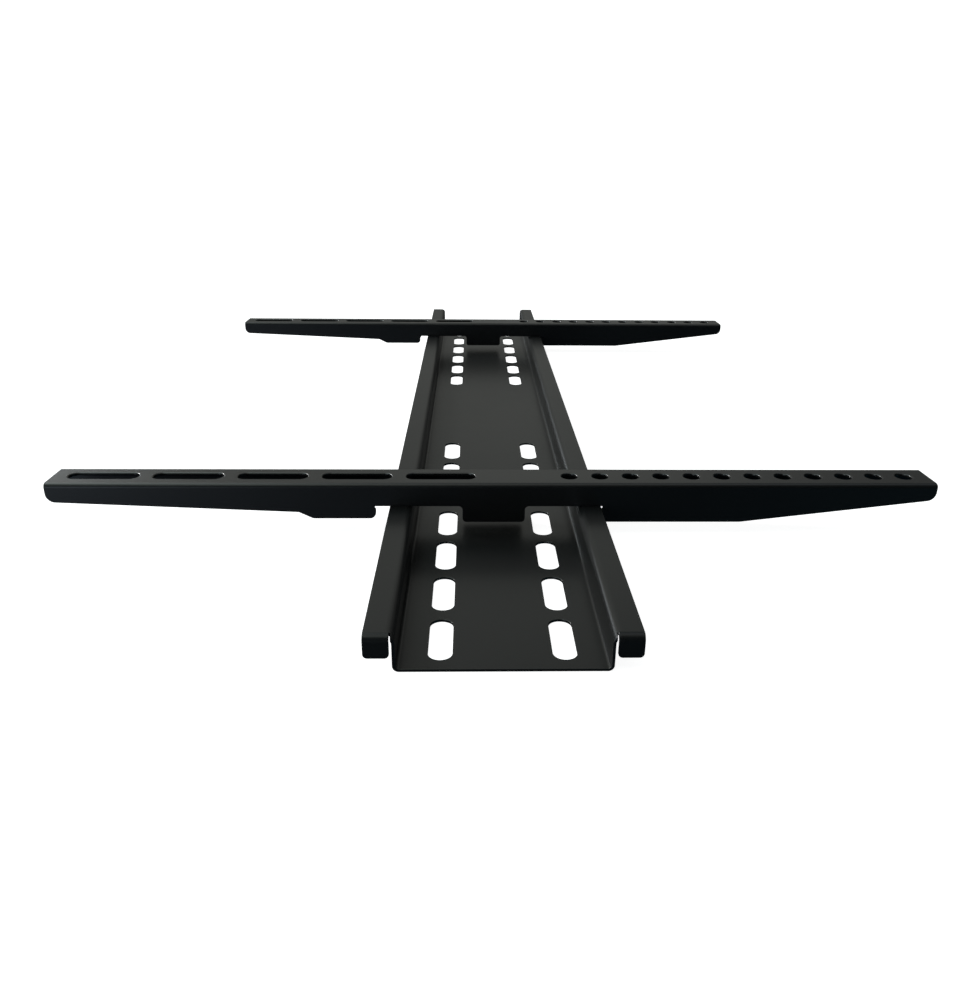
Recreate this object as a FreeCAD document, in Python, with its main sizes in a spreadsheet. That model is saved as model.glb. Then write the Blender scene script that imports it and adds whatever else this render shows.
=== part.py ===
"""Fixed wall mount for a television: a folded wall plate and two hook-on arms.

Frame: X runs along the wall plate, Y up the wall along the arms, Z out from the wall.
The origin is the middle of the wall plate's wall face, at Z = 0. Millimetres.
"""
import FreeCAD, Part
import os
import Sketcher
from FreeCAD import Vector

# Driving dimensions: name, millimetres (or a count), what it measures.
SIZES = [
    ("plate_length", 660, "wall plate, end to end"),
    ("channel_width", 83, "wall plate, outer face to outer face of its two walls"),
    ("lip_width", 10.8, "wall's outer face to the edge of its lip"),
    ("plate_depth", 15.5, "wall face to the top of the lips"),
    ("plate_gauge", 1.2, "sheet of the wall plate"),
    ("foot_bend", 1.3, "inner radius of the bend from base to wall"),
    ("lip_bend", 2.5, "inner radius of the bend from wall to lip"),
    ("stop_drop", 9.7, "top of the lip to the bottom of the end stop"),
    ("stop_bend", 1.8, "inner radius of the fold from lip to end stop"),
    ("stop_corner", 1.8, "corner radius of the end stop"),
    ("relief_gap", 0.95, "wall's outer face to the near edge of the end stop"),
    ("relief_width", 0.55, "slit that parts the end stop from the bend"),
    ("screw_slot_length", 29.5, "wall screw slot, over its round ends"),
    ("screw_slot_width", 9.5, "wall screw slot, across"),
    ("screw_slot_pitch", 37, "between wall screw slots of one group"),
    ("screw_slot_count", 7, "wall screw slots in one group"),
    ("screw_slot_margin", 6.25, "end of the wall plate to the first screw slot"),
    ("screw_column_spacing", 48, "between the two columns of screw slots"),
    ("arm_spacing", 400, "between the middles of the two arms"),
    ("arm_shift", -1.2, "both arms, towards the plate's right end from even places"),
    ("arm_length", 440, "arm, end to end"),
    ("arm_width", 22.4, "arm, outer face to outer face of its webs"),
    ("arm_gauge", 1.5, "sheet of the arms"),
    ("arm_bend", 0.8, "inner radius of the bends from face to web"),
    ("arm_rise", 11.8, "top of the lips to the screen face of the arm"),
    ("upper_end_depth", 8.5, "depth of the web at the arm's upper end"),
    ("lower_end_depth", 9.8, "depth of the web at the arm's lower end"),
    ("end_corner", 4.5, "corner radius at the arm's ends"),
    ("hook_gap", 0.5, "edge of the upper lip to the hook"),
    ("hook_clearance", 0.5, "underside of the upper lip to the hook's tooth"),
    ("tooth_reach", 5.5, "length of the hook's tooth behind the upper lip"),
    ("tooth_lead", 2, "lead-in slope at the tip of the tooth, each way"),
    ("hook_drop", 8.5, "top of the lips down to the bottom of the hook"),
    ("hook_length", 70, "hook, along the arm from the upper lip"),
    ("tab_width", 31, "middle tab, along the arm"),
    ("tab_offset", 0.9, "middle tab's centre below the plate's middle"),
    ("tab_drop", 8.55, "top of the lips down to the bottom of the middle tab"),
    ("tab_corner", 2, "corner radius of the middle tab"),
    ("foot_gap", 7, "edge of the lower lip to the arm's foot"),
    ("foot_drop", 6.6, "top of the lips down to the bottom of the foot"),
    ("foot_length", 31.1, "foot, along the arm"),
    ("foot_corner", 3, "corner radius of the foot"),
    ("step_drop", 3.2, "top of the lips down to the step behind the foot"),
    ("step_run", 7, "slope from the foot to the step, along the arm"),
    ("notch_relief_depth", 0.5, "relief in the inner corner of each notch, into the side"),
    ("notch_relief_height", 1.3, "relief in the inner corner of each notch, down the side"),
    ("hole_diameter", 8, "round screen holes"),
    ("hole_pitch", 15.47, "between round screen holes"),
    ("hole_margin", 12.5, "upper end of the arm to the last round hole's centre"),
    ("middle_bridge", 40, "least stretch of the arm's face left whole between slots and round holes"),
    ("face_slot_length", 34.6, "screen slot, over its round ends"),
    ("face_slot_width", 8, "screen slot, across"),
    ("face_slot_pitch", 41.9, "between screen slots"),
    ("face_slot_count", 5, "screen slots in one arm"),
    ("face_slot_margin", 25.1, "lower end of the arm to the first slot's centre"),
]

# Places worked out from the driving dimensions, as expressions of the sheet.
WALL = "Sizes.channel_width / 2"
LIP_EDGE = "(Sizes.channel_width / 2 + Sizes.lip_width)"
LIP_TOP = "Sizes.plate_depth"
LIP_UNDERSIDE = "Sizes.plate_depth - Sizes.plate_gauge"
PLATE_END = "Sizes.plate_length / 2"
STOP_FOLD = "(Sizes.stop_bend + Sizes.plate_gauge)"
STOP_EDGE = "(Sizes.channel_width / 2 + Sizes.relief_gap)"
STOP_BOTTOM = "Sizes.plate_depth - Sizes.stop_drop"
ARM_TOP = "Sizes.plate_depth + Sizes.arm_rise"
ARM_END = "Sizes.arm_length / 2"
ARM_SIDE = "Sizes.arm_width / 2"
HOOK_SIDE = LIP_EDGE + " + Sizes.hook_gap"
HOOK_BOTTOM = "Sizes.plate_depth - Sizes.hook_drop"
TOOTH_TIP = HOOK_SIDE + " - Sizes.tooth_reach"
TOOTH_TOP = LIP_UNDERSIDE + " - Sizes.hook_clearance"
RELIEF_BOTTOM = LIP_TOP + " - Sizes.notch_relief_height"
TAB_UPPER = "Sizes.tab_width / 2 - Sizes.tab_offset"
TAB_LOWER = "-Sizes.tab_width / 2 - Sizes.tab_offset"
TAB_BOTTOM = "Sizes.plate_depth - Sizes.tab_drop"
FOOT_SIDE = "-" + LIP_EDGE + " - Sizes.foot_gap"
FOOT_BACK = FOOT_SIDE + " - Sizes.foot_length"
FOOT_BOTTOM = "Sizes.plate_depth - Sizes.foot_drop"
STEP_BACK = FOOT_BACK + " - Sizes.step_run"
STEP_BOTTOM = "Sizes.plate_depth - Sizes.step_drop"

# A sketch's own numbers for the points of an edge, for its two axes and for its origin.
START, END, CENTRE = range(1, 4)
V_AXIS, H_AXIS = range(-2, 0)
ROOT_POINT = (H_AXIS, START)
ON_LINE = 1e-4

doc = FreeCAD.newDocument("tv_wall_mount")
sheet = doc.addObject("Spreadsheet::Sheet", "Sizes")
for row, (alias, value, meaning) in enumerate(SIZES, start=1):
    sheet.set(f"A{row}", meaning)
    sheet.set(f"B{row}", str(value))
    sheet.setAlias(f"B{row}", alias)
doc.recompute()


def number(expression):
    """Value of an expression of the sheet, in millimetres."""
    value = sheet.evalExpression(expression)
    return float(getattr(value, "Value", value))


def new_body(label):
    body = doc.addObject("PartDesign::Body", label)
    body.Label = label
    return body


def origin(body, role):
    """The body's own origin plane or axis with that role."""
    return next(item for item in body.Origin.OriginFeatures if item.Role == role)


def new_sketch(body, name, plane, lift=None):
    """Sketch on an origin plane of the body, lifted along the plane's normal."""
    sketch = body.newObject("Sketcher::SketchObject", name)
    sketch.AttachmentSupport = [(origin(body, plane), "")]
    sketch.MapMode = "FlatFace"
    if lift:
        sketch.setExpression("AttachmentOffset.Base.z", lift)
    return sketch


def bind(sketch, kind, *items):
    """Add a dimension whose value is the expression given last."""
    *points, expression = items
    index = sketch.addConstraint(Sketcher.Constraint(kind, *points, number(expression)))
    sketch.setExpression(f"Constraints[{index}]", expression)


def place_point(sketch, point, across, up):
    """Hold a point of the sketch at a place given by two expressions."""
    for expression, axis, kind in ((across, V_AXIS, "DistanceX"), (up, H_AXIS, "DistanceY")):
        if expression == "0":
            sketch.addConstraint(Sketcher.Constraint("PointOnObject", *point, axis))
        else:
            bind(sketch, kind, *ROOT_POINT, *point, expression)


def draw_outline(sketch, corners):
    """Closed chain of straight edges; a corner in line with an earlier one is tied to it."""
    spots = [Vector(number(across), number(up), 0) for across, up in corners]
    count = len(spots)
    for i, spot in enumerate(spots):
        sketch.addGeometry(Part.LineSegment(spot, spots[(i + 1) % count]), False)
    for i in range(count):
        sketch.addConstraint(Sketcher.Constraint("Coincident", i, END, (i + 1) % count, START))
    ways = (("DistanceX", "Vertical", V_AXIS), ("DistanceY", "Horizontal", H_AXIS))
    for way, (distance, in_line, axis) in enumerate(ways):
        first_with = {}
        for i, corner in enumerate(corners):
            expression = corner[way]
            if expression == "0":
                sketch.addConstraint(Sketcher.Constraint("PointOnObject", i, START, axis))
            elif expression in first_with:
                earlier = first_with[expression]
                sketch.addConstraint(Sketcher.Constraint(in_line, earlier, START, i, START))
            else:
                first_with[expression] = i
                bind(sketch, distance, *ROOT_POINT, i, START, expression)


def draw_circle(sketch, across, up, radius):
    centre = Vector(number(across), number(up), 0)
    circle = sketch.addGeometry(Part.Circle(centre, Vector(0, 0, 1), number(radius)), False)
    place_point(sketch, (circle, CENTRE), across, up)
    bind(sketch, "Radius", circle, radius)


def draw_slot(sketch, across, up, length, width, upright):
    """Round-ended slot centred on a place, lying across the sketch or standing upright in it."""
    reach = f"({length} - {width}) / 2"
    radius = number(width) / 2
    middle = Vector(number(across), number(up), 0)
    along = Vector(0, 1, 0) if upright else Vector(1, 0, 0)
    side = Vector(-along.y, along.x, 0) * radius
    ends = [middle + along * number(reach), middle - along * number(reach)]
    caps = []
    for end, outward in zip(ends, (along, -along)):
        arc = Part.Arc(end - side, end + outward * radius, end + side)
        caps.append(sketch.addGeometry(arc, False))
    far_side = sketch.addGeometry(Part.LineSegment(ends[0] + side, ends[1] + side), False)
    near_side = sketch.addGeometry(Part.LineSegment(ends[1] - side, ends[0] - side), False)
    for edge, (first, last) in ((far_side, caps), (near_side, caps[::-1])):
        for point, cap in ((START, first), (END, last)):
            touching = nearest_end(sketch, edge, point, cap)
            sketch.addConstraint(Sketcher.Constraint("Tangent", edge, point, cap, touching))
    sketch.addConstraint(Sketcher.Constraint("Equal", *caps))
    bind(sketch, "Radius", caps[0], f"{width} / 2")
    for cap, sign in zip(caps, "+-"):
        shifted = f"{up if upright else across} {sign} {reach}"
        spot = (across, shifted) if upright else (shifted, up)
        place_point(sketch, (cap, CENTRE), *spot)


def nearest_end(sketch, edge, point, cap):
    """Which end of an arc lies on that end of an edge."""
    spot = sketch.getPoint(edge, point)
    return min((START, END), key=lambda end: sketch.getPoint(cap, end).distanceToPoint(spot))


def extrude(body, kind, name, sketch, length=None, reverse=False, symmetric=False):
    """Pad or Pocket of a sketch; without a length a Pocket goes right through."""
    feature = body.newObject(f"PartDesign::{kind}", name)
    feature.Profile = sketch
    feature.Reversed = reverse
    if symmetric:
        feature.SideType = "Symmetric"
    if length:
        feature.setExpression("Length", length)
    else:
        feature.Type = "ThroughAll"
    doc.recompute()
    return feature


def cut(body, name, sketch, **options):
    """Pocket that has to take something away."""
    before = body.Shape.Volume
    feature = extrude(body, "Pocket", name, sketch, **options)
    if feature.Shape.Volume > before - ON_LINE:
        raise RuntimeError(f"{name} cuts nothing")
    return feature


def round_edges(body, name, along, spots, radius):
    """Fillet the straight edges along an axis that pass through spots given as expressions.

    A spot is the place in the two other axes, in the order X, Y, Z.
    """
    base = body.Tip
    other = [i for i in range(3) if i != "XYZ".index(along)]
    places = [[number(part) for part in spot] for spot in spots]
    names = []
    for index, edge in enumerate(base.Shape.Edges, start=1):
        points = [vertex.Point for vertex in edge.Vertexes]
        if any(runs_through(points, place, other) for place in places):
            names.append(f"Edge{index}")
    fillet = body.newObject("PartDesign::Fillet", name)
    fillet.Base = (base, names)
    fillet.setExpression("Radius", radius)
    doc.recompute()


def runs_through(points, place, other):
    """True where both ends of an edge lie on the line through that place."""
    if len(points) < 2:
        return False
    return all(abs(point[i] - at) < ON_LINE for point in points for i, at in zip(other, place))


def repeat(body, name, feature, axis, pitch, count):
    """Row of a feature along an origin axis, towards its negative end."""
    row = body.newObject("PartDesign::LinearPattern", name)
    row.Originals = [feature]
    row.Direction = (origin(body, axis), [""])
    row.Reversed = True
    row.Mode = "Spacing"
    row.setExpression("Offset", pitch)
    row.setExpression("Occurrences", count)
    body.Tip = row
    doc.recompute()


def mirror_whole(body, name, plane):
    mirror = body.newObject("PartDesign::Mirrored", name)
    mirror.TransformMode = "Whole shape"
    mirror.MirrorPlane = (origin(body, plane), [""])
    mirror.Refine = True
    body.Tip = mirror
    doc.recompute()


def make_wall_plate():
    """Hat-section sheet: one quarter is drawn, then mirrored along and across."""
    body = new_body("wall_plate")
    fold_section(body)
    fold_end_stop(body)
    cut_screw_slots(body)
    mirror_whole(body, "both_ends", "YZ_Plane")
    mirror_whole(body, "both_sides", "XZ_Plane")
    return body


def fold_section(body):
    """Base, wall and lip of one side, with their bends."""
    section = new_sketch(body, "section", "YZ_Plane")
    inner_wall = "Sizes.channel_width / 2 - Sizes.plate_gauge"
    draw_outline(section, [
        ("0", "0"),
        (WALL, "0"),
        (WALL, LIP_UNDERSIDE),
        (LIP_EDGE, LIP_UNDERSIDE),
        (LIP_EDGE, LIP_TOP),
        (inner_wall, LIP_TOP),
        (inner_wall, "Sizes.plate_gauge"),
        ("0", "Sizes.plate_gauge"),
    ])
    extrude(body, "Pad", "folded_sheet", section, length=PLATE_END)
    foot_outer = "Sizes.foot_bend + Sizes.plate_gauge"
    lip_outer = "Sizes.lip_bend + Sizes.plate_gauge"
    round_edges(body, "foot_bend_outside", "X", [(WALL, "0")], foot_outer)
    round_edges(body, "foot_bend_inside", "X", [(inner_wall, "Sizes.plate_gauge")], "Sizes.foot_bend")
    round_edges(body, "lip_bend_inside", "X", [(WALL, LIP_UNDERSIDE)], "Sizes.lip_bend")
    round_edges(body, "lip_bend_outside", "X", [(inner_wall, LIP_TOP)], lip_outer)


def fold_end_stop(body):
    """The end of the lip, slit free of the wall and folded down."""
    fold_line = f"{PLATE_END} - {STOP_FOLD}"
    inner_face = f"{PLATE_END} - Sizes.plate_gauge"
    slit_edge = f"{STOP_EDGE} - Sizes.relief_width"
    slit = new_sketch(body, "stop_slit", "XY_Plane")
    draw_outline(slit, [
        (fold_line, slit_edge),
        (PLATE_END, slit_edge),
        (PLATE_END, LIP_EDGE),
        (fold_line, LIP_EDGE),
    ])
    cut(body, "stop_blank", slit, reverse=True)
    profile = new_sketch(body, "stop_profile", "XZ_Plane", lift=f"-{STOP_EDGE}")
    draw_outline(profile, [
        (fold_line, LIP_TOP),
        (PLATE_END, LIP_TOP),
        (PLATE_END, STOP_BOTTOM),
        (inner_face, STOP_BOTTOM),
        (inner_face, LIP_UNDERSIDE),
        (fold_line, LIP_UNDERSIDE),
    ])
    extrude(body, "Pad", "end_stop", profile, length=f"{LIP_EDGE} - {STOP_EDGE}", reverse=True)
    round_edges(body, "stop_fold_outside", "Y", [(PLATE_END, LIP_TOP)], STOP_FOLD)
    round_edges(body, "stop_fold_inside", "Y", [(inner_face, LIP_UNDERSIDE)], "Sizes.stop_bend")
    corners = [(STOP_EDGE, STOP_BOTTOM), (LIP_EDGE, STOP_BOTTOM)]
    round_edges(body, "stop_corners", "X", corners, "Sizes.stop_corner")


def cut_screw_slots(body):
    """One group of wall screw slots, from the plate's end towards its middle."""
    outline = new_sketch(body, "screw_slot_outline", "XY_Plane")
    first = f"{PLATE_END} - Sizes.screw_slot_margin - Sizes.screw_slot_length / 2"
    column = "Sizes.screw_column_spacing / 2"
    draw_slot(outline, first, column, "Sizes.screw_slot_length", "Sizes.screw_slot_width", upright=False)
    slot = cut(body, "screw_slot", outline, reverse=True)
    repeat(body, "screw_slots", slot, "X_Axis", "Sizes.screw_slot_pitch", "Sizes.screw_slot_count")


def make_arm(label, place):
    """U-channel arm with its cut webs, its screen slots and its round screen holes."""
    body = new_body(label)
    cut_web_outline(body)
    form_channel(body)
    cut_screen_holes(body)
    body.setExpression("Placement.Base.x", place)
    return body


def cut_web_outline(body):
    """Both webs share this outline: hook at the upper lip, middle tab, foot at the lower lip.

    The inner corner of each notch is relieved, so that the lip seats square in it.
    """
    outline = new_sketch(body, "web_outline", "YZ_Plane")
    upper_end = f"{ARM_TOP} - Sizes.upper_end_depth"
    lower_end = f"{ARM_TOP} - Sizes.lower_end_depth"
    hook_relief = HOOK_SIDE + " + Sizes.notch_relief_depth"
    foot_relief = FOOT_SIDE + " - Sizes.notch_relief_depth"
    draw_outline(outline, [
        ("-" + ARM_END, ARM_TOP),
        (ARM_END, ARM_TOP),
        (ARM_END, upper_end),
        (HOOK_SIDE + " + Sizes.hook_length", HOOK_BOTTOM),
        (TOOTH_TIP + " + Sizes.tooth_lead", HOOK_BOTTOM),
        (TOOTH_TIP, HOOK_BOTTOM + " + Sizes.tooth_lead"),
        (TOOTH_TIP, TOOTH_TOP),
        (HOOK_SIDE, TOOTH_TOP),
        (HOOK_SIDE, RELIEF_BOTTOM),
        (hook_relief, RELIEF_BOTTOM),
        (hook_relief, LIP_TOP),
        (TAB_UPPER, LIP_TOP),
        (TAB_UPPER, TAB_BOTTOM),
        (TAB_LOWER, TAB_BOTTOM),
        (TAB_LOWER, LIP_TOP),
        (foot_relief, LIP_TOP),
        (foot_relief, RELIEF_BOTTOM),
        (FOOT_SIDE, RELIEF_BOTTOM),
        (FOOT_SIDE, FOOT_BOTTOM),
        (FOOT_BACK, FOOT_BOTTOM),
        (STEP_BACK, STEP_BOTTOM),
        ("-" + ARM_END, lower_end),
    ])
    extrude(body, "Pad", "arm_blank", outline, length="Sizes.arm_width", symmetric=True)
    ends = [(ARM_END, upper_end), ("-" + ARM_END, lower_end)]
    tab = [(side, level) for side in (TAB_UPPER, TAB_LOWER) for level in (LIP_TOP, TAB_BOTTOM)]
    foot = [(FOOT_SIDE, FOOT_BOTTOM), (FOOT_BACK, FOOT_BOTTOM), (STEP_BACK, STEP_BOTTOM)]
    round_edges(body, "end_corners", "X", ends, "Sizes.end_corner")
    round_edges(body, "tab_corners", "X", tab, "Sizes.tab_corner")
    round_edges(body, "foot_corners", "X", foot, "Sizes.foot_corner")


def form_channel(body):
    """Bend the blank into a channel that is open towards the wall and at both ends."""
    edges = [(side + ARM_SIDE, ARM_TOP) for side in ("-", "")]
    round_edges(body, "face_bends_outside", "Y", edges, "Sizes.arm_bend + Sizes.arm_gauge")
    hollow = new_sketch(body, "channel_section", "XZ_Plane")
    inner_side = f"({ARM_SIDE} - Sizes.arm_gauge)"
    inner_top = f"{ARM_TOP} - Sizes.arm_gauge"
    draw_outline(hollow, [
        ("-" + inner_side, "0"),
        (inner_side, "0"),
        (inner_side, inner_top),
        ("-" + inner_side, inner_top),
    ])
    cut(body, "channel", hollow, symmetric=True)
    edges = [(side + inner_side, inner_top) for side in ("-", "")]
    round_edges(body, "face_bends_inside", "Y", edges, "Sizes.arm_bend")


def cut_screen_holes(body):
    """Slots on the lower half of the screen face, round holes on the upper half."""
    slot_outline = new_sketch(body, "face_slot_outline", "XY_Plane", lift=ARM_TOP)
    rows_above = "(Sizes.face_slot_count - 1) * Sizes.face_slot_pitch"
    top_slot = f"-{ARM_END} + Sizes.face_slot_margin + {rows_above}"
    draw_slot(slot_outline, "0", top_slot, "Sizes.face_slot_length", "Sizes.face_slot_width", upright=True)
    slot = cut(body, "face_slot", slot_outline, length="Sizes.arm_gauge")
    repeat(body, "face_slots", slot, "Y_Axis", "Sizes.face_slot_pitch", "Sizes.face_slot_count")
    hole_outline = new_sketch(body, "hole_outline", "XY_Plane", lift=ARM_TOP)
    last_hole = f"{ARM_END} - Sizes.hole_margin"
    draw_circle(hole_outline, "0", last_hole, "Sizes.hole_diameter / 2")
    hole = cut(body, "screen_hole", hole_outline, length="Sizes.arm_gauge")
    slots_end = f"{top_slot} + Sizes.face_slot_length / 2"
    first_hole = f"{slots_end} + Sizes.middle_bridge + Sizes.hole_diameter / 2"
    hole_count = f"floor(({last_hole} - ({first_hole})) / Sizes.hole_pitch) + 1"
    repeat(body, "screen_holes", hole, "Y_Axis", "Sizes.hole_pitch", hole_count)


def check(bodies):
    """Stop before anything is written if an object failed or a shape is not one valid solid."""
    for item in doc.Objects:
        if "Invalid" in item.State or "Error" in item.State:
            raise RuntimeError(f"{item.Label} failed: {item.State}")
    for body in bodies:
        shape = body.Shape
        if shape.isNull() or not shape.isValid() or len(shape.Solids) != 1:
            raise RuntimeError(f"{body.Label} is not one valid solid")


pieces = [
    make_wall_plate(),
    make_arm("right_arm", "Sizes.arm_shift + Sizes.arm_spacing / 2"),
    make_arm("left_arm", "Sizes.arm_shift - Sizes.arm_spacing / 2"),
]
doc.recompute()
check(pieces)
os.makedirs("parts", exist_ok=True)
for piece in pieces:
    piece.Shape.exportStep(f"parts/{piece.Label}.step")
    box = piece.Shape.BoundBox
    print(piece.Label, "volume", round(piece.Shape.Volume, 1), "mm3, box", box)
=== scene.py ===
"""Looks of the wall mount: black powder coat, rounded sheet edges, white studio and the photo's camera.

Metres, in the part's own frame: X along the wall plate, Y up the wall along the arms, Z out from the wall.
"""
import bpy
import math
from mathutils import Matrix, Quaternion, Vector


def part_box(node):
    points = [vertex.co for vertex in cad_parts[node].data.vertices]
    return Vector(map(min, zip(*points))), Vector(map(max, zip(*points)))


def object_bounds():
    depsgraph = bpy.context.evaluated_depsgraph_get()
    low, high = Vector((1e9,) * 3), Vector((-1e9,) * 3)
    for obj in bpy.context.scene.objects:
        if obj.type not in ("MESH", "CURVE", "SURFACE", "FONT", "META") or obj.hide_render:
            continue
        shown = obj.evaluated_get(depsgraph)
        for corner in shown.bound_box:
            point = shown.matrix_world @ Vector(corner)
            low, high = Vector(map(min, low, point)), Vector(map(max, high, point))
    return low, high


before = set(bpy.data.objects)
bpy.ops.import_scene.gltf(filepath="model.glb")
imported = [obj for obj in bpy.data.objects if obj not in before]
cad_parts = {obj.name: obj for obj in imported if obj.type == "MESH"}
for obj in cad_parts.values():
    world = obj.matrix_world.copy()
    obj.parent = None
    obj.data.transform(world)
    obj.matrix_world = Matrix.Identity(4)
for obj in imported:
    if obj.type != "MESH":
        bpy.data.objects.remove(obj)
cad_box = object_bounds()

MM = 0.001

# Camera: place in metres, angles in degrees, lens and sensor in millimetres.
CAMERA_PLACE = (0.59915, -0.01224, 0.18281)
CAMERA_YAW = 1.381
CAMERA_PITCH = 22.196
CAMERA_ROLL = 0.5615
CAMERA_LENS = 31.361
CAMERA_SENSOR = 36

# Sheet edges, in metres and degrees: cut edges, and the rolled upper rims of the arms' punched holes.
EDGE_ROUND = 0.2 * MM
RIM_ROUND = 0.8 * MM
EDGE_SHARE = EDGE_ROUND / RIM_ROUND
ROUND_STEPS = 4
SHARP_ANGLE = 32
FLAT_ANGLE = 0.2
SAME_POINT = 0.001 * MM
NO_WEIGHT = 0.001

# The rims lie in the arms' screen face, to within this depth, and end short of the arms' ends.
RIM_DEPTH = 0.1 * MM
RIM_MARGIN = 1 * MM

# Too fine to round by the end stops: the slits' sides and their inner ends.
# Each is given in from the plate's end (near, far), then out from its middle (low, high).
SLIT_SIDES = (0.1 * MM, 3.1 * MM, 41.85 * MM, 42.3 * MM)
SLIT_ENDS = (2.9 * MM, 3.1 * MM, 41.85 * MM, 44.1 * MM)

# Powder coat. Noises: waves per metre and detail.
CLOUDS = (14, 3)
GRAIN = (2600, 2)
PEEL = (650, 1.5)
CLOUD_RANGE = (0.3, 0.7)
DARKER, LIGHTER = 0.8, 1.25
GLOSS_SPREAD = 0.03
GRAIN_SHARE = 0.12
PEEL_HEIGHT = 0.03 * MM
COAT_IOR = 1.5
FILM_ROUGHNESS = 0.22

# Soft lights far away: azimuth from +X towards +Y, elevation, degrees to half strength, colour times strength.
SOFT_LIGHTS = {
    "window_high": (240, 54, 14, (1.9, 2.3, 2.3)),
    "window_side": (214, 38, 12, (0.55, 0.53, 0.46)),
    "side_glint": (210, 6, 6, (2.6, 2.8, 2.9)),
    "back": (176, 26, 17, (0.32, 0.33, 0.31)),
    "front_left": (320, 0, 12, (1.8, 2.1, 2.4)),
    "front_floor": (324, -22, 24, (0.06, 0.07, 0.09)),
    "front_high": (316, 60, 10, (1.4, 1.7, 1.6)),
    "overhead": (330, 78, 17, (0.45, 0.42, 0.38)),
    "right_high": (110, 70, 17, (0.35, 0.4, 0.44)),
    "right_low": (140, 4, 15, (0.11, 0.11, 0.11)),
    "right_floor": (60, -25, 24, (0.02, 0.07, 0.1)),
}

# The one lamp near the part, a softbox: azimuth, elevation, metres away, metres wide and high, brightness.
SOFTBOX = (240, 32, 3.0, (0.7, 0.7), 22.0)

# Studio, in metres, with the glow that shows it white.
FLOOR_HALF = 12.0
FLOOR_DROP = 0.05 * MM
FLOOR_GLOW = 0.93
DOME_RADIUS = 11.0
DOME_GLOW = 1.0
STUDIO_GREY = (0.8, 0.8, 0.8, 1)
WHITE = (1, 1, 1, 1)


def add_node(tree, kind, **settings):
    """New node with its attributes set, and input values given as a dictionary under inputs."""
    node = tree.nodes.new(kind)
    inputs = settings.pop("inputs", {})
    for name, value in settings.items():
        setattr(node, name, value)
    for key, value in inputs.items():
        socket = node.inputs[key]
        if isinstance(value, bpy.types.NodeSocket):
            tree.links.new(value, socket)
        else:
            socket.default_value = value
    return node


def add_math(tree, operation, *values):
    """Result of one sum on numbers or sockets."""
    node = add_node(tree, "ShaderNodeMath", operation=operation, inputs=dict(enumerate(values)))
    return node.outputs[0]


def edge_marker(name, weigh):
    """Node group that shades the mesh smooth and weights its sharp edges for rounding.

    The weight comes from weigh, which is given the node group and the edges' places. A sharp edge
    without weight stays sharp.
    """
    group = bpy.data.node_groups.new(name, "GeometryNodeTree")
    for in_out in ("INPUT", "OUTPUT"):
        group.interface.new_socket("Geometry", in_out=in_out, socket_type="NodeSocketGeometry")
    start = add_node(group, "NodeGroupInput")
    plain = add_node(group, "GeometryNodeRemoveAttribute",
                     inputs={"Geometry": start.outputs[0], "Name": "custom_normal"})
    smooth = add_node(group, "GeometryNodeSetShadeSmooth",
                      inputs={"Geometry": plain.outputs[0], "Shade Smooth": True})
    angle = add_node(group, "GeometryNodeInputMeshEdgeAngle").outputs["Unsigned Angle"]
    sharp = add_math(group, "GREATER_THAN", angle, math.radians(SHARP_ANGLE))
    place = add_node(group, "GeometryNodeInputPosition").outputs[0]
    axes = add_node(group, "ShaderNodeSeparateXYZ", inputs={0: place}).outputs
    weight = add_math(group, "MULTIPLY", sharp, weigh(group, axes))
    kept = add_math(group, "MULTIPLY", sharp, add_math(group, "LESS_THAN", weight, NO_WEIGHT))
    split = add_node(group, "GeometryNodeSetShadeSmooth", domain="EDGE",
                     inputs={"Geometry": smooth.outputs[0], "Selection": kept, "Shade Smooth": False})
    marked = add_node(group, "GeometryNodeStoreNamedAttribute", domain="EDGE", data_type="FLOAT",
                      inputs={"Geometry": split.outputs[0], "Name": "bevel_weight_edge", "Value": weight})
    end = add_node(group, "NodeGroupOutput")
    group.links.new(marked.outputs[0], end.inputs[0])
    return group


def inside(group, limits):
    """1 where every value lies between its two limits, and 0 elsewhere."""
    result = 1
    for value, low, high in limits:
        for side, limit in (("GREATER_THAN", low), ("LESS_THAN", high)):
            result = add_math(group, "MULTIPLY", result, add_math(group, side, value, limit))
    return result


def weigh_plate(group, place):
    """Every cut edge alike, but for the edges of the fine slits beside the end stops."""
    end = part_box("wall_plate")[1].x
    along = add_math(group, "ABSOLUTE", place["X"])
    across = add_math(group, "ABSOLUTE", place["Y"])
    sides, ends = (inside(group, [(along, end - far, end - near), (across, low, high)])
                   for near, far, low, high in (SLIT_SIDES, SLIT_ENDS))
    in_slit = add_math(group, "MAXIMUM", sides, ends)
    return add_math(group, "MULTIPLY_ADD", in_slit, -EDGE_SHARE, EDGE_SHARE)


def weigh_arm(group, place):
    """Rolled rims on the holes of the screen face, and finer edges elsewhere."""
    _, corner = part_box("right_arm")
    along = add_math(group, "ABSOLUTE", place["Y"])
    on_rim = inside(group, [(place["Z"], corner.z - RIM_DEPTH, corner.z + RIM_MARGIN),
                            (along, -RIM_MARGIN, corner.y - RIM_MARGIN)])
    return add_math(group, "MULTIPLY_ADD", on_rim, 1 - EDGE_SHARE, EDGE_SHARE)


def join_points(node, name):
    joined = node.modifiers.new(name, "WELD")
    joined.merge_threshold = SAME_POINT


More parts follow.
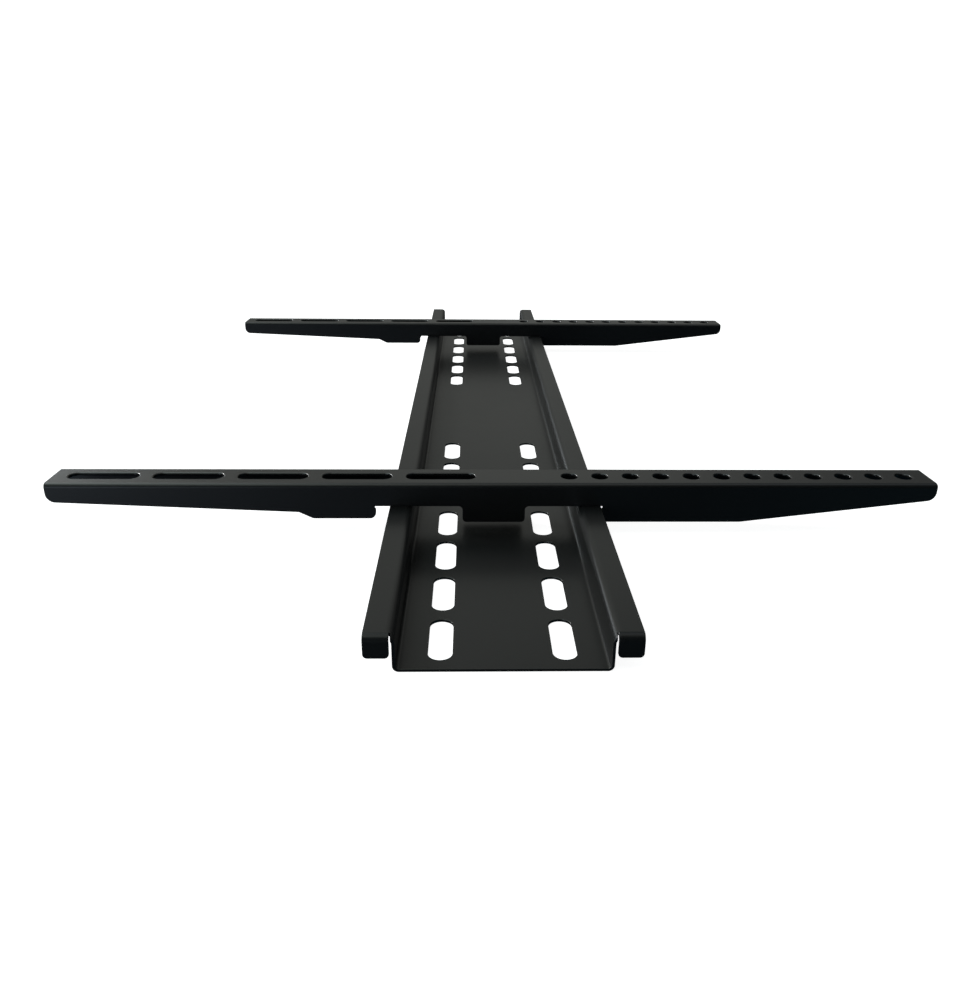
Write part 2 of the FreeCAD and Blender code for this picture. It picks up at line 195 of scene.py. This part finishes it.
def round_sheet_edges(node, marker):
    """Round every cut edge of the sheet by an even width and keep its flat faces flat."""
    join_points(node, "joined_points")
    flats = node.modifiers.new("flat_faces", "DECIMATE")
    flats.decimate_type = "DISSOLVE"
    flats.angle_limit = math.radians(FLAT_ANGLE)
    marks = node.modifiers.new("edge_marks", "NODES")
    marks.node_group = marker
    bevel = node.modifiers.new("rounded_edges", "BEVEL")
    bevel.limit_method = "WEIGHT"
    bevel.width = RIM_ROUND
    bevel.segments = ROUND_STEPS
    bevel.use_clamp_overlap = False
    bevel.loop_slide = False
    bevel.material = 1
    join_points(node, "cleaned_points")
    normals = node.modifiers.new("flat_normals", "WEIGHTED_NORMAL")
    normals.mode = "FACE_AREA"
    normals.weight = 100
    normals.keep_sharp = True


def add_noise(tree, place, noise):
    scale, detail = noise
    node = add_node(tree, "ShaderNodeTexNoise", inputs={"Vector": place, "Scale": scale, "Detail": detail})
    return node.outputs["Fac"]


def powder_coat(name, colour, roughness, peel, shine, film=0.0):
    """Satin black coat with orange peel, fine grain, cloudy gloss and a clear film over it."""
    material = bpy.data.materials.new(name)
    material.use_nodes = True
    tree = material.node_tree
    tree.nodes.clear()
    place = add_node(tree, "ShaderNodeTexCoord").outputs["Object"]
    clouds, grain, waves = (add_noise(tree, place, noise) for noise in (CLOUDS, GRAIN, PEEL))
    darker, lighter = ([part * share for part in colour] + [1] for share in (DARKER, LIGHTER))
    tint = add_node(tree, "ShaderNodeMix", data_type="RGBA", inputs={0: clouds, 6: darker, 7: lighter})
    gloss = add_node(tree, "ShaderNodeMapRange",
                     inputs={0: clouds, 1: CLOUD_RANGE[0], 2: CLOUD_RANGE[1],
                             3: roughness - GLOSS_SPREAD, 4: roughness + GLOSS_SPREAD})
    height = add_math(tree, "MULTIPLY_ADD", grain, GRAIN_SHARE, waves)
    bump = add_node(tree, "ShaderNodeBump",
                    inputs={"Strength": peel, "Distance": PEEL_HEIGHT, "Height": height})
    shader = add_node(tree, "ShaderNodeBsdfPrincipled",
                      inputs={"Base Color": tint.outputs[2], "Roughness": gloss.outputs[0],
                              "Normal": bump.outputs[0], "IOR": COAT_IOR, "Specular IOR Level": shine,
                              "Coat Weight": film, "Coat Roughness": FILM_ROUGHNESS, "Coat IOR": COAT_IOR,
                              "Coat Normal": bump.outputs[0]})
    end = add_node(tree, "ShaderNodeOutputMaterial")
    tree.links.new(shader.outputs[0], end.inputs["Surface"])
    return material


def dress_nodes():
    plate_marks = edge_marker("plate_edges", weigh_plate)
    arm_marks = edge_marker("arm_edges", weigh_arm)
    plate_coat = powder_coat("plate_coat_looks", (0.012, 0.0125, 0.0125),
                             roughness=0.46, peel=0.35, shine=0.25, film=0.55)
    arm_coat = powder_coat("arm_coat_looks", (0.012, 0.0122, 0.012),
                           roughness=0.42, peel=0.35, shine=0.4, film=0.6)
    edge_coat = powder_coat("edge_coat_looks", (0.014, 0.0145, 0.0145),
                            roughness=0.22, peel=0.2, shine=1.0)
    for name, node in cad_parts.items():
        is_plate = name == "wall_plate"
        node.data.materials.clear()
        node.data.materials.append(plate_coat if is_plate else arm_coat)
        node.data.materials.append(edge_coat)
        round_sheet_edges(node, plate_marks if is_plate else arm_marks)


def stage_material(name, glow):
    material = bpy.data.materials.new(name)
    material.use_nodes = True
    shader = material.node_tree.nodes["Principled BSDF"]
    shader.inputs["Base Color"].default_value = STUDIO_GREY
    shader.inputs["Roughness"].default_value = 1
    shader.inputs["Specular IOR Level"].default_value = 0
    shader.inputs["Emission Color"].default_value = WHITE
    shader.inputs["Emission Strength"].default_value = glow
    return material


def seen_only_by_camera(piece):
    """The white studio shows behind the part, and stays out of its dark reflections."""
    piece.visible_diffuse = False
    piece.visible_glossy = False
    piece.visible_transmission = False
    piece.visible_shadow = False


def build_studio():
    bpy.ops.mesh.primitive_plane_add(size=2 * FLOOR_HALF, location=(0, 0, cad_box[0].z - FLOOR_DROP))
    floor = bpy.context.object
    floor.name = "floor"
    floor.data.materials.append(stage_material("floor_white", FLOOR_GLOW))
    bpy.ops.mesh.primitive_uv_sphere_add(radius=DOME_RADIUS, segments=64, ring_count=32, location=(0, 0, 0))
    dome = bpy.context.object
    dome.name = "backdrop"
    dome.data.materials.append(stage_material("backdrop_white", DOME_GLOW))
    for piece in (floor, dome):
        seen_only_by_camera(piece)


def direction(azimuth, elevation):
    turn, lift = math.radians(azimuth), math.radians(elevation)
    return Vector((math.cos(lift) * math.cos(turn), math.cos(lift) * math.sin(turn), math.sin(lift)))


def paint_soft_lights():
    """Wide lights painted on the surroundings."""
    world = bpy.data.worlds.new("studio")
    world.use_nodes = True
    tree = world.node_tree
    tree.nodes.clear()
    looking = add_node(tree, "ShaderNodeTexCoord").outputs["Generated"]
    total = (0, 0, 0)
    for azimuth, elevation, spread, colour in SOFT_LIGHTS.values():
        fall = math.log(2) / (1 - math.cos(math.radians(spread)))
        facing = add_node(tree, "ShaderNodeVectorMath", operation="DOT_PRODUCT",
                          inputs={0: looking, 1: direction(azimuth, elevation)})
        power = add_math(tree, "MULTIPLY_ADD", facing.outputs["Value"], fall, -fall)
        glow = add_math(tree, "EXPONENT", power)
        light = add_node(tree, "ShaderNodeVectorMath", operation="SCALE",
                         inputs={0: colour, "Scale": glow})
        total = add_node(tree, "ShaderNodeVectorMath", operation="ADD",
                         inputs={0: total, 1: light.outputs[0]}).outputs[0]
    background = add_node(tree, "ShaderNodeBackground", inputs={"Color": total})
    end = add_node(tree, "ShaderNodeOutputWorld")
    tree.links.new(background.outputs[0], end.inputs["Surface"])
    bpy.context.scene.world = world


def hang_softbox():
    """One lamp that gives the crisp glints."""
    azimuth, elevation, distance, size, brightness = SOFTBOX
    light = bpy.data.lights.new("softbox", "AREA")
    light.shape = "RECTANGLE"
    light.size, light.size_y = size
    light.energy = brightness * math.pi * size[0] * size[1]
    lamp = bpy.data.objects.new("softbox", light)
    lamp.location = direction(azimuth, elevation) * distance
    lamp.rotation_euler = direction(azimuth, elevation).to_track_quat("Z", "Y").to_euler()
    bpy.context.scene.collection.objects.link(lamp)


def place_camera():
    yaw, pitch, roll = (math.radians(angle) for angle in (CAMERA_YAW, CAMERA_PITCH, CAMERA_ROLL))
    forward = Vector((-math.cos(yaw) * math.cos(pitch), math.sin(yaw) * math.cos(pitch), -math.sin(pitch)))
    lens = bpy.data.cameras.new("photo_camera")
    lens.lens = CAMERA_LENS
    lens.sensor_width = CAMERA_SENSOR
    camera = bpy.data.objects.new("photo_camera", lens)
    camera.location = CAMERA_PLACE
    turn = forward.to_track_quat("-Z", "Y") @ Quaternion((0, 0, 1), roll)
    camera.rotation_euler = turn.to_euler()
    bpy.context.scene.collection.objects.link(camera)
    bpy.context.scene.camera = camera


dress_nodes()
build_studio()
paint_soft_lights()
hang_softbox()
place_camera()
bpy.context.scene.view_settings.view_transform = "Standard"
